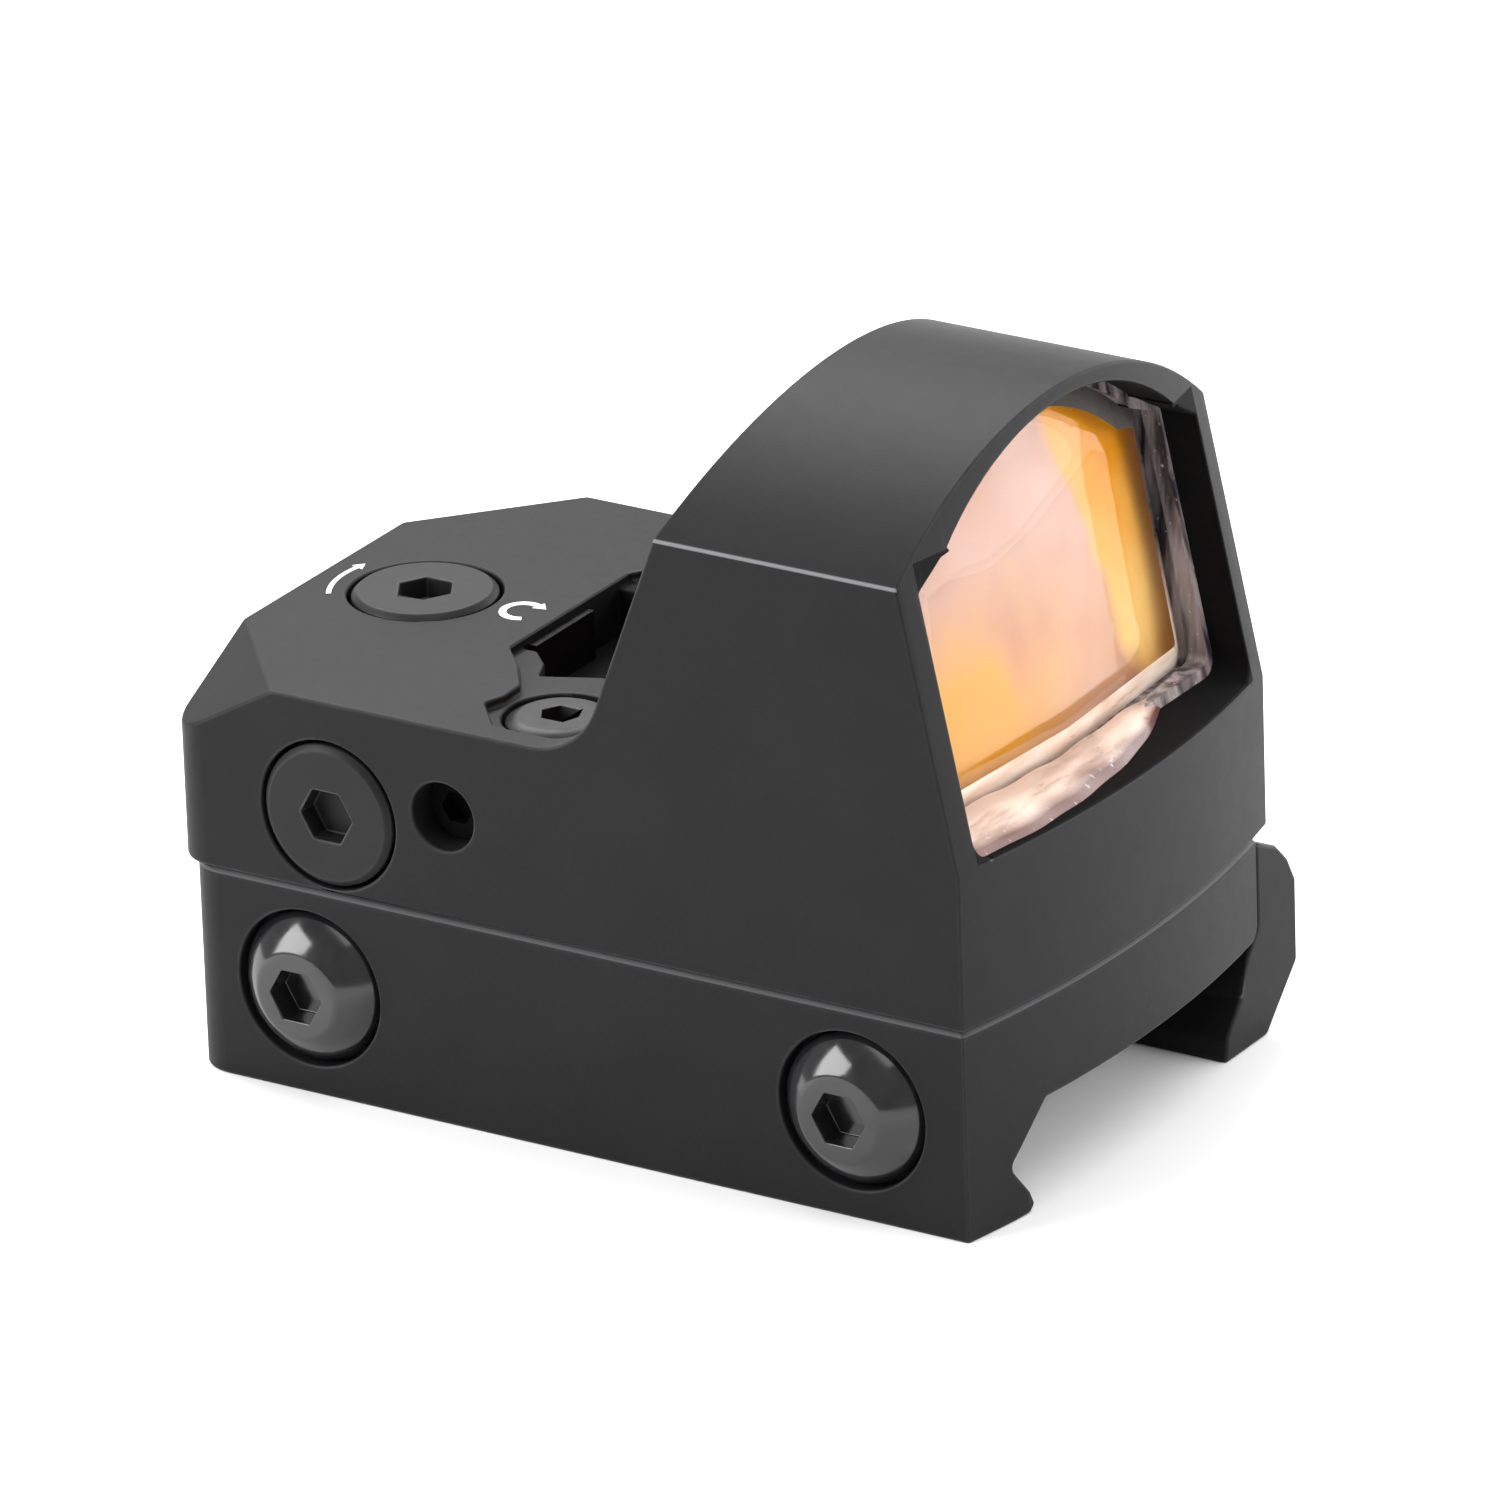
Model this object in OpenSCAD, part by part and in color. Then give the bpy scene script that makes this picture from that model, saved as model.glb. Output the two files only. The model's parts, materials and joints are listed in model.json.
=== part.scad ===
// Micro reflex sight (red dot finder) with a side clamp for a 21.2 mm accessory rail.
// Origin: on the rail seat, midway between the clamp screws. +X to the target, +Z up, -Y windage side.

/* [Body] */
// Width of the body across its sides, mm
body_w = 27.6; // [26:0.1:30]
// X of the flat rear face of the housing, mm
rear_x = -22.6; // [-26:0.1:-21]
// X of the curved front face in the centre plane, mm
front_x = 22.65; // [21:0.05:26]
// Radius of the front face seen from above, mm
front_r = 66.4; // [50:0.1:90]
// Height of the joint between base and housing above the rail seat, mm
seam_z = 5.2; // [4.8:0.1:6]
// Height of the rear deck above the rail seat, mm
deck_z = 14.9; // [14.5:0.1:16]
// Radius of the upright rear corners, mm
corner_r = 2.1; // [1:0.1:3]

/* [Hood] */
// Height where the front face starts to lean back, mm
sill_z = 13.0; // [12:0.1:14]
// Lean of the front face, degrees
lean = 12.04; // [0:0.01:20]
// Height of the crease between hood side and roof, mm
crease_z = 26.6; // [24:0.1:28]
// Height of the roof's crown, mm
crown_z = 31.8; // [30:0.1:34]
// X where the slanted rear edge of the hood meets the crease, mm
slant_x = 5.2; // [3:0.1:8]
// Lean of the hood's rear edge, degrees from upright
slant = 21.4; // [10:0.1:30]
// Radius of the fillet between deck and hood, mm
hood_fillet_r = 4; // [2:0.1:6]
// Thickness of the hood's side walls, mm
wall = 1.4; // [1:0.1:2]

/* [Rail clamp] */
// Distance between the two clamp screws, three rail slots, mm
screw_pitch = 30.03; // [20.02:10.01:30.03]
// Depth of the clamp below the rail seat, mm
clamp_depth = 5.4; // [5:0.1:6]
// Diameter of the clamp screws' shanks, mm
clamp_d = 4; // [3:0.1:5]
// Diameter of the clamp screws' button heads, mm
head_d = 7.6; // [6:0.1:8]
// Hex socket width across flats, mm
hex_af = 2.5; // [2:0.5:3]

/* [Adjusters] */
// X of the elevation screw, mm
elev_x = -16.8; // [-18:0.1:-15]
// X of the windage screw, mm
wind_x = -13.5; // [-15:0.1:-12]
// Height of the windage screw, mm
wind_z = 9.15; // [8.5:0.05:10]
// Radius of the adjuster discs, mm
disc_r = 3.55; // [3:0.05:4]

/* [Battery] */
// X of the middle of the battery bay, mm
bay_x = 9.5; // [8:0.1:11]
// Diameter of the coin cell, mm
cell_d = 20; // [16:1:20]
// Thickness of the coin cell, mm
cell_h = 3.2; // [1.6:0.1:3.2]

/* [Hidden] */
$fn = 96;
half_w = body_w / 2;
screw_x = screw_pitch / 2;

// hood
roof_h = crown_z - crease_z;
roof_r = (half_w * half_w + roof_h * roof_h) / (2 * roof_h);
in_y = half_w - wall;
floor_z = 13.2;
in_roof_r = 15.55;
in_crown_z = 31.1;
corner_y = 10.1;
corner_z = 27.37;
shoulder_z = 26.0;
slant_base_x = slant_x - (crease_z - deck_z) * tan(slant);
fillet_x = slant_base_x - hood_fillet_r * tan((90 - slant) / 2);
tangent_x = slant_base_x + hood_fillet_r * tan((90 - slant) / 2) * sin(slant);
tangent_z = deck_z + hood_fillet_r * tan((90 - slant) / 2) * cos(slant);

// deck
deck_half = 6.8;
deck_side_x = -16.4;
facet_run = deck_side_x - rear_x;
facet_turn = atan2(half_w - deck_half, facet_run);
facet_fall = 36.9;
trough_x = -9.4;
shelf_z = 14.45;
shelf_end = 0.5;
pocket_z = 12.0;

// fasteners
mount_x = -3.35;
mount_y = 9.1;
mount_seat_z = 13.0;
mount_head_r = 2.6;
mount_head_h = 1.6;
mount_d = 2.9;
mount_len = 11.8;
mount_af = 1.7;
pin_r = 1.0;
pin_h = 4;
pin_z = 3.2;
pin_places = [[18.6, 9.8], [-18.5, 9.0]];
pin_gap = 0.01;
clamp_head_y = -half_w + 1;
clamp_head_h = 2.2;
clamp_head_rim = 0.55;
clamp_len = 29.4;
jaw_x = -21.0;
jaw_len = 42.4;

// hollows above the seam: x from, x to, y from, y to, roof
hollows = [
  [-20.6, -9.9, -3.5, 3.5, 12.0],      // lift slide
  [-16.1, -10.9, -10.9, -3.0, 12.0],   // traverse nut
  [-11.5, -9.9, -10.65, 5.2, 10.6],    // traverse bar
  [-11.0, -6.2, -10.65, -8.35, 11.2],  // tongue for the lock screw
  [-10.0, 1.0, -1.8, 1.8, 11.6]        // emitter flex
];
bay_gap = 0.3;
ledge_r = 9.2;
ledge_z = 11.4;
bay_roof_z = 12.0;
groove_in_r = 10.65;
groove_out_r = 11.65;
groove_h = 0.5;

// adjusters
disc_h = 1.8;
disc_bevel = 0.25;
disc_taper = 0.3;
recess_r = 3.75;
recess_z = 13.2;
shaft_r = 1.5;
hole_r = 1.6;
oring_r = 1.93;
oring_wire = 0.27;
oring_seat_r = 2.35;
oring_seat_h = 0.6;
clip_slot = 1.32;
elev_len = 7.05;
wind_len = 7.55;
lock_x = -7.05;
lock_z = 10.35;
lock_r = 1.45;
lock_af = 1.5;
nut_bore_r = 1.55;
wind_recess_y = 12.1;

// lens
lens_x = 17.6;
lens_z = 22.2;
lens_gap = 0.15;
bead = 0.5;
mark_h = 0.03;
front_surface_r = 90;
cement_r = 84;
rear_surface_r = 88;

// pieces inside, as boxes: x from, x to, y from, y to, z from, z to
lift_plate = [-20.2, -13.9, -3.2, 3.2, 6.8, 10.9];
lift_tongue = [-14.5, -11.35, -2.0, 2.0, 9.7, 10.7];
nut_block = [-15.8, -11.2, -9.8, -5.6, 7.0, 11.2];
nut_foot = [-11.5, -10.1, -9.8, -5.6, 7.6, 10.0];
traverse_bar = [-11.1, -10.1, -9.8, 2.6, 7.6, 10.0];
lock_tongue = [-10.5, -6.5, -10.0, -9.0, 8.6, 10.9];
foot_slot = [-12, -9, -0.55, 0.55, 8.3, 12];
emitter_body = [-12.1, -10.7, -1.3, 1.3, 10.75, 13.75];
emitter_foot = [-11.2, -10.7, -0.5, 0.5, 8.95, 10.8];
led_body = [-10.7, -10.4, -0.4, 0.4, 12.8, 13.6];
plate = [-10.4, -10.25, -0.9, 0.9, 12.3, 13.7];
window_pane = [trough_x, trough_x + 0.5, -2.5, 2.5, 12.05, 14.5];
side_contact = [-0.72, -0.53, -1.0, 1.0, 6.2, 10.6];
flex_strip = [-9.7, 0.2, -1.2, 1.2, 11.4, 11.55];
pinhole_z = 13.2;
pinhole_r = 0.05;

// springs
lift_spring_r = 2.35;
lift_spring_wire = 0.26;
lift_spring_h = 1.6;
windage_spring_at = [-10.65, 2.6, 8.6];
windage_spring_r = 0.6;
windage_spring_wire = 0.15;
windage_spring_len = 2.6;

// battery and board
pad_r = 8;
pad_h = 0.3;
cap_inset = 1.4;
cap_h = 0.3;
strip_w = 2.4;
board_z = 10.6;
board_h = 0.8;
board_r = 10.1;
chip_h = 0.5;
// chips: x, y, length, width
chips = [
  [9.5, 3.5, 4, 4], [5.0, -4.0, 2, 1.2], [8.5, -4.0, 2, 1.2],
  [12.0, -4.0, 1.6, 0.8], [4.0, 2.0, 1.6, 0.8], [15.0, 0.5, 1, 2]
];

// index marks: radius, band, bearing from, bearing to, arrowhead's half width
mark_x = -11.3;
rear_mark = [4.6, 0.24, 168, 212, 0.34];
front_mark = [0.95, 0.36, 70, 300, 0.38];

black = [0.14, 0.14, 0.15];
steel = [0.62, 0.63, 0.65];
glass = [0.85, 0.6, 0.45, 0.6];

module along_y(x, z)
{
  translate([x, 0, z]) rotate([90, 0, 0]) children();
}

module rod_y(x, z, y0, y1, r)
{
  translate([x, y0, z]) rotate([-90, 0, 0]) cylinder(r = r, h = y1 - y0);
}

module box(x0, x1, y0, y1, z0, z1)
{
  translate([x0, y0, z0]) cube([x1 - x0, y1 - y0, z1 - z0]);
}

module slab(b)
{
  box(b[0], b[1], b[2], b[3], b[4], b[5]);
}

// Flat ring standing on z = 0.
module ring(r_in, r_out, h)
{
  difference()
  {
    cylinder(r = r_out, h = h);
    translate([0, 0, -1]) cylinder(r = r_in, h = h + 2);
  }
}

module both_sides()
{
  children();
  mirror([0, 1, 0]) children();
}

// Upright prism of the body's plan: rounded rear corners, curved front.
module plan_prism(x0, z0, z1)
{
  intersection()
  {
    union()
    {
      box(x0 + corner_r, front_x + 1, -half_w, half_w, z0, z1);
      box(x0, front_x + 1, -half_w + corner_r, half_w - corner_r, z0, z1);
      both_sides()
        translate([x0 + corner_r, half_w - corner_r, z0])
          cylinder(r = corner_r, h = z1 - z0);
    }
    translate([front_x - front_r, 0, z0]) cylinder(r = front_r, h = z1 - z0, $fn = 360);
  }
}

// Side view of the housing, as wide as the body.
module side_prism()
{
  rotate([90, 0, 0])
    translate([0, 0, -half_w - 1])
      linear_extrude(2 * half_w + 2)
      {
        polygon([
          [rear_x - 1, seam_z], [front_x + 1, seam_z], [front_x + 1, crown_z + 1],
          [slant_x + (crown_z + 1 - crease_z) * tan(slant), crown_z + 1],
          [slant_base_x, deck_z], [rear_x - 1, deck_z]
        ]);
        difference()
        {
          polygon([
            [fillet_x, deck_z - 1], [slant_base_x + 1, deck_z - 1],
            [tangent_x + 1, tangent_z], [tangent_x, tangent_z], [fillet_x, deck_z]
          ]);
          translate([fillet_x, deck_z + hood_fillet_r]) circle(r = hood_fillet_r);
        }
      }
}

// Outline of the hood's tunnel seen from the front, g inside its walls, extruded along X.
module tunnel(x0, x1, g)
{
  translate([x0, 0, 0])
    rotate([90, 0, 90])
      linear_extrude(x1 - x0)
      {
        polygon([
          [-in_y + g, floor_z + 1], [-in_y + 1, floor_z + g], [in_y - 1, floor_z + g],
          [in_y - g, floor_z + 1], [in_y - g, shoulder_z], [corner_y - g * 0.6, corner_z - g],
          [-corner_y + g * 0.6, corner_z - g], [-in_y + g, shoulder_z]
        ]);
        intersection()
        {
          translate([0, in_crown_z - in_roof_r]) circle(r = in_roof_r - g, $fn = 180);
          translate([-half_w, corner_z - g]) square([body_w, 10]);
        }
        translate([in_y - 1, floor_z + 1]) circle(r = 1 - g);
        translate([-in_y + 1, floor_z + 1]) circle(r = 1 - g);
      }
}

module lens_frame()
{
  translate([lens_x, 0, lens_z]) rotate([0, -lean, 0]) children();
}

// Everything behind a sphere whose crown is at x in the lens's own frame.
module behind(x, r)
{
  lens_frame() translate([x - r, 0, 0]) sphere(r = r, $fn = 180);
}

// Cut behind the hood: a low step down to the two shelves, and a deep trough between them.
module trough()
{
  translate([0, 0, shelf_z])
    linear_extrude(crown_z)
      polygon([
        [trough_x, -4.0], [-7.9, -5.6], [-6.5, -7.6], [-6.4, -9.0], [-6.8, -10.2],
        [-4.9, -in_y], [2, -in_y], [2, in_y], [-4.9, in_y], [-6.8, 10.2], [trough_x, 6.4]
      ]);
  translate([0, 0, pocket_z])
    linear_extrude(shelf_z)
      polygon([
        [trough_x, -2.9], [-8.6, -2.9], [-7.5, -4.0], [-6.9, -5.4], [-4.2, -4.2],
        [shelf_end, -4.2], [shelf_end, 4.2], [-4.2, 4.2], [-6.9, 5.4], [trough_x, 5.4]
      ]);
}

module facet_cut()
{
  translate([(rear_x + deck_side_x) / 2, (half_w + deck_half) / 2, deck_z])
    rotate([0, 0, 90 + facet_turn])
      rotate([0, facet_fall, 0])
        translate([0, -15, 0]) cube([15, 30, 15]);
}

module housing_body()
{
  difference()
  {
    intersection()
    {
      plan_prism(rear_x, seam_z, crown_z + 1);
      side_prism();
      translate([-30, 0, crown_z - roof_r])
        rotate([0, 90, 0]) cylinder(r = roof_r, h = 60, $fn = 180);
      translate([front_x - front_r * cos(lean), 0, sill_z - front_r * sin(lean)])
        rotate([0, -lean, 0])
          cylinder(r = front_r, h = 140, center = true, $fn = 360);
    }
    both_sides() facet_cut();
    tunnel(shelf_end - 0.01, front_x + 2, 0);
    trough();
  }
}

// Dowels of one side, from z up, g larger all round.
module dowels(z, h, g)
{
  for (p = pin_places) translate([p[0], p[1], z]) cylinder(r = pin_r + g, h = h);
}

module housing()
{
  color(black)
    difference()
    {
      housing_body();
      // opening for the emitter in the wall of the trough
      box(trough_x - 1, trough_x + 1, -1.9, 1.9, 12.3, 14.1);
      box(-12.4, -9.9, -2.9, 2.9, 11, 14.35);
      // battery bay and board ledge
      translate([bay_x, 0, seam_z - 1])
        cylinder(r = cell_d / 2 + bay_gap, h = ledge_z - seam_z + 1);
      translate([bay_x, 0, seam_z]) cylinder(r = ledge_r, h = bay_roof_z - seam_z);
      for (h = hollows) box(h[0], h[1], h[2], h[3], seam_z - 1, h[4]);
      // elevation screw
      translate([elev_x, 0, recess_z]) cylinder(r = recess_r, h = 3);
      translate([elev_x, 0, recess_z - oring_seat_h]) cylinder(r = oring_seat_r, h = 1);
      translate([elev_x, 0, 11]) cylinder(r = hole_r, h = 3);
      // windage screw and its lock screw
      rod_y(wind_x, wind_z, -half_w - 1, -wind_recess_y, recess_r);
      rod_y(wind_x, wind_z, -half_w, -wind_recess_y + oring_seat_h, oring_seat_r);
      rod_y(wind_x, wind_z, -half_w, -10, hole_r);
      rod_y(lock_x, lock_z, -half_w - 1, -12.0, lock_r + 0.25);
      rod_y(lock_x, lock_z, -half_w, -10, lock_r + 0.05);
      // mounting screws and dowels
      both_sides()
      {
        translate([mount_x, mount_y, mount_seat_z]) cylinder(r = mount_head_r + 0.17, h = 5);
        translate([mount_x, mount_y, seam_z - 1]) cylinder(d = mount_d + 0.2, h = 10);
        dowels(seam_z - 1, pin_z + pin_h - seam_z + 1, pin_gap);
      }
    }
}

module mount_base()
{
  color(black)
    difference()
    {
      intersection()
      {
        union()
        {
          plan_prism(-22.0, -clamp_depth, seam_z - 0.3);
          intersection()
          {
            plan_prism(-22.0, seam_z - 0.35, seam_z);
            translate([front_x - front_r, 0, seam_z - 0.35])
              cylinder(r1 = front_r + 0.05, r2 = front_r - 0.3, h = 0.35, $fn = 360);
          }
        }
        translate([-30, 0, 0])
          rotate([90, 0, 90])
            linear_extrude(60)
            {
              polygon([
                [-half_w, seam_z - 0.3], [-half_w, -clamp_depth], [-10.6, -clamp_depth],
                [-9.5, -clamp_depth + 0.05], [-9.2, -5.0], [-9.5, -4.3], [-10.67, -2.85],
                [-10.67, -2.5], [-8.2, 0], [11.5, 0], [11.5, 0.8], [12.3, 0.8],
                [12.3, seam_z], [-half_w + 0.3, seam_z]
              ]);
              translate([11.5, 0.8]) circle(r = 0.8);
            }
      }
      for (x = [-screw_x, screw_x])
      {
        rod_y(x, 0, -half_w - 1, 13, clamp_d / 2 + 0.05);
        rod_y(x, 0, -half_w - 1, clamp_head_y, head_d / 2 + 0.15);
      }
      both_sides()
      {
        translate([mount_x, mount_y, mount_seat_z - mount_len - 0.2])
          cylinder(d = mount_d + 0.1, h = mount_len);
        dowels(pin_z - 0.2, 4, pin_gap);
      }
      translate([bay_x, 0, seam_z - groove_h]) ring(groove_in_r, groove_out_r, groove_h + 1);
    }
}

module clamp_jaw()
{
  color(black)
    difference()
    {
      translate([jaw_x, 0, 0])
        rotate([90, 0, 90])
          linear_extrude(jaw_len)
            polygon([
              [9.3, -clamp_depth], [13.2, -clamp_depth], [16.1, -2.6], [16.1, 1.6],
              [15.4, 2.9], [14.4, 3.9], [12.8, 4.6], [12.5, 4.5], [12.5, 0.4],
              [11.5, -0.8], [10.8, -2.5], [10.8, -2.7], [9.5, -4.2]
            ]);
      for (x = [-screw_x, screw_x])
        rod_y(x, 0, 8, 18, clamp_d / 2 + 0.05);
    }
}

module hex_socket(af, h)
{
  cylinder(r = af / 2 / cos(30), h = h, $fn = 6);
}

// Domed screw, tip towards +Z, seat of the head at z = 0; rim is the height of its straight side.
module button_screw(d, hd, hh, rim, top_r, len, af)
{
  low = (hd * hd / 4 - top_r * top_r + rim * rim - hh * hh) / (2 * (hh - rim));
  difference()
  {
    union()
    {
      cylinder(r = d / 2, h = len);
      intersection()
      {
        translate([0, 0, -hh]) cylinder(r = hd / 2, h = hh);
        translate([0, 0, low])
          sphere(r = sqrt(hd * hd / 4 + (low + rim) * (low + rim)), $fn = 120);
      }
    }
    translate([0, 0, -hh - 1]) hex_socket(af, 1 + hh * 0.6);
  }
}

module clamp_screw(x)
{
  color(black)
    translate([x, clamp_head_y, 0])
      rotate([-90, 0, 0])
        button_screw(clamp_d, head_d, clamp_head_h, clamp_head_rim, 2.0, clamp_len, hex_af);
}

module clamp_screw_front() clamp_screw(screw_x);

module clamp_screw_rear() clamp_screw(-screw_x);

module mounting_screws()
{
  color(steel)
    both_sides()
      translate([mount_x, mount_y, mount_seat_z])
        rotate([180, 0, 0])
          button_screw(mount_d, 2 * mount_head_r, mount_head_h, 1.25, 1.9, mount_len, mount_af);
}

module locating_pins()
{
  color(steel)
    both_sides() dowels(pin_z, pin_h, 0);
}

module base_seal()
{
  color([0.05, 0.05, 0.05])
    translate([bay_x, 0, seam_z - groove_h])
      ring(groove_in_r + 0.05, groove_out_r - 0.05, groove_h);
}

// Adjuster screw along +Z from the underside of its disc at z = 0.
module adjuster(len)
{
  difference()
  {
    union()
    {
      translate([0, 0, -disc_h]) cylinder(r1 = disc_r - disc_taper, r2 = disc_r, h = disc_bevel);
      translate([0, 0, -disc_h + disc_bevel]) cylinder(r = disc_r, h = disc_h - disc_bevel);
      cylinder(r = shaft_r, h = len);
    }
    translate([0, 0, -disc_h - 1]) hex_socket(hex_af, 2.1);
    translate([0, 0, clip_slot]) ring(1.15, 3, 0.4);
  }
}

module adjuster_ring()
{
  rotate_extrude() translate([oring_r, -oring_seat_h / 2]) circle(r = oring_wire, $fn = 32);
}

module adjuster_clip()
{
  difference()
  {
    cylinder(r = 2.6, h = 0.36);
    translate([0, 0, -1]) cylinder(r = 1.2, h = 3);
    translate([-0.9, 0, -1]) cube([1.8, 4, 3]);
  }
}

module elevation_screw()
{
  color(black)
    translate([elev_x, 0, recess_z + 0.05]) rotate([180, 0, 0]) adjuster(elev_len);
}

module elevation_oring()
{
  color([0.04, 0.04, 0.04])
    translate([elev_x, 0, recess_z]) adjuster_ring();
}

module elevation_clip()
{
  color(steel) translate([elev_x, 0, 11.54]) adjuster_clip();
}

module windage_screw()
{
  color(black)
    translate([wind_x, -wind_recess_y - 0.05, wind_z]) rotate([-90, 0, 0]) adjuster(wind_len);
}

module windage_oring()
{
  color([0.04, 0.04, 0.04])
    translate([wind_x, -wind_recess_y, wind_z]) rotate([90, 0, 0]) adjuster_ring();
}

module windage_clip()
{
  color(steel)
    translate([wind_x, -10.8, wind_z]) rotate([-90, 0, 0]) adjuster_clip();
}

module windage_lock_screw()
{
  color(black)
    difference()
    {
      rod_y(lock_x, lock_z, -12.5, -10.9, lock_r);
      translate([lock_x, -13.5, lock_z]) rotate([-90, 0, 0]) hex_socket(lock_af, 1.9);
    }
}

module lift_slide()
{
  color([0.7, 0.6, 0.3])
    difference()
    {
      union()
      {
        slab(lift_plate);
        slab(lift_tongue);
      }
      translate([elev_x, 0, 5]) cylinder(r = nut_bore_r, h = 8);
    }
}

module windage_slide()
{
  color([0.7, 0.6, 0.3])
    difference()
    {
      union()
      {
        slab(nut_block);
        slab(nut_foot);
        slab(traverse_bar);
        slab(lock_tongue);
      }
      rod_y(wind_x, wind_z, -12, -3, nut_bore_r);
      slab(foot_slot);
    }
}

module emitter_block()
{
  color([0.2, 0.2, 0.2])
  {
    slab(emitter_body);
    slab(emitter_foot);
  }
}

module led_chip()
{
  color([0.9, 0.2, 0.15]) slab(led_body);
}

module pinhole_plate()
{
  color(steel)
    difference()
    {
      slab(plate);
      translate([-11, 0, pinhole_z]) rotate([0, 90, 0]) cylinder(r = pinhole_r, h = 2, $fn = 24);
    }
}

module emitter_window()
{
  color([0.2, 0.05, 0.05]) slab(window_pane);
}

// Coil of n turns filling a height h, each turn a closed ring.
module coil(r, wire, h, n)
{
  for (i = [0:n - 1])
    translate([0, 0, wire + i * (h - 2 * wire) / (n - 1)])
      rotate_extrude() translate([r, 0]) circle(r = wire, $fn = 32);
}

module lift_spring()
{
  color(steel)
    translate([elev_x, 0, seam_z]) coil(lift_spring_r, lift_spring_wire, lift_spring_h, 3);
}

module windage_spring()
{
  color(steel)
    translate(windage_spring_at)
      rotate([-90, 0, 0]) coil(windage_spring_r, windage_spring_wire, windage_spring_len, 8);
}

module battery()
{
  color(steel)
    translate([bay_x, 0, seam_z + pad_h])
    {
      cylinder(r = cell_d / 2 - cap_inset, h = cap_h + 0.1);
      translate([0, 0, cap_h]) cylinder(r = cell_d / 2, h = cell_h - cap_h);
    }
}

module battery_pad()
{
  color([0.1, 0.1, 0.1]) translate([bay_x, 0, seam_z]) cylinder(r = pad_r, h = pad_h);
}

module battery_spring_contact()
{
  color([0.8, 0.7, 0.4])
    along_y(0, 0)
      translate([0, 0, -strip_w / 2])
        linear_extrude(strip_w)
          polygon([
            [4, 10.6], [4, 10.4], [6, 10.4], [9, 8.75], [10.6, 8.75], [11.6, 9.3],
            [11.5, 9.5], [10.5, 8.95], [9.1, 8.95], [6.1, 10.6]
          ]);
}

module battery_side_contact()
{
  color([0.8, 0.7, 0.4]) slab(side_contact);
}

module circuit_board()
{
  color([0.05, 0.3, 0.15])
    translate([bay_x, 0, board_z]) cylinder(r = board_r, h = board_h);
}

module board_components()
{
  color([0.08, 0.08, 0.08])
    for (c = chips)
      translate([c[0] - c[2] / 2, c[1] - c[3] / 2, board_z + board_h]) cube([c[2], c[3], chip_h]);
}

module emitter_flex()
{
  color([0.8, 0.5, 0.1]) slab(flex_strip);
}

module lens_front()
{
  color(glass)
    difference()
    {
      intersection()
      {
        tunnel(8, front_x + 2, lens_gap);
        behind(0, front_surface_r);
      }
      behind(-1.5, cement_r);
    }
}

module lens_rear()
{
  color(glass)
    difference()
    {
      intersection()
      {
        tunnel(8, front_x + 2, lens_gap);
        behind(-1.5, cement_r);
      }
      behind(-3.0, rear_surface_r);
    }
}

module lens_seal()
{
  color([0.8, 0.8, 0.82])
    difference()
    {
      intersection()
      {
        tunnel(8, front_x + 2, 0);
        lens_frame() translate([-2.8, -20, -20]) cube([2.7, 40, 40]);
      }
      intersection()
      {
        tunnel(8, front_x + 2, lens_gap);
        behind(0, front_surface_r);
      }
      tunnel(8, front_x + 2, bead);
    }
}

// Part of a flat ring between two bearings, with an arrowhead at the first one.
module curved_arrow(mark)
{
  r = mark[0];
  band = mark[1];
  from = mark[2];
  to = mark[3];
  head = mark[4];
  steps = 24;
  turn = (to - from) / steps;
  function spot(radius, angle) = [radius * cos(angle), radius * sin(angle)];
  polygon([
    spot(r - head, from), spot(r, from) - 1.6 * head * [-sin(from), cos(from)], spot(r + head, from),
    for (i = [0:steps]) spot(r + band / 2, from + i * turn),
    for (i = [steps:-1:0]) spot(r - band / 2, from + i * turn)
  ]);
}

module index_marks()
{
  color([0.95, 0.95, 0.95])
    translate([0, 0, deck_z])
      linear_extrude(mark_h)
      {
        translate([elev_x, 0]) curved_arrow(rear_mark);
        translate([mark_x, 0]) curved_arrow(front_mark);
      }
}

housing();
mount_base();
clamp_jaw();
clamp_screw_front();
clamp_screw_rear();
mounting_screws();
locating_pins();
base_seal();
elevation_screw();
elevation_oring();
elevation_clip();
windage_screw();
windage_oring();
windage_clip();
windage_lock_screw();
lift_slide();
windage_slide();
emitter_block();
led_chip();
pinhole_plate();
emitter_window();
lift_spring();
windage_spring();
battery();
battery_pad();
battery_spring_contact();
battery_side_contact();
circuit_board();
board_components();
emitter_flex();
lens_front();
lens_rear();
lens_seal();
index_marks();
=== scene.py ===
"""Looks for the reflex sight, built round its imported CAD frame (metres, +X to the target, +Z up)."""

import json
import math

import bmesh
import bpy
from mathutils import Matrix, Vector


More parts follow.
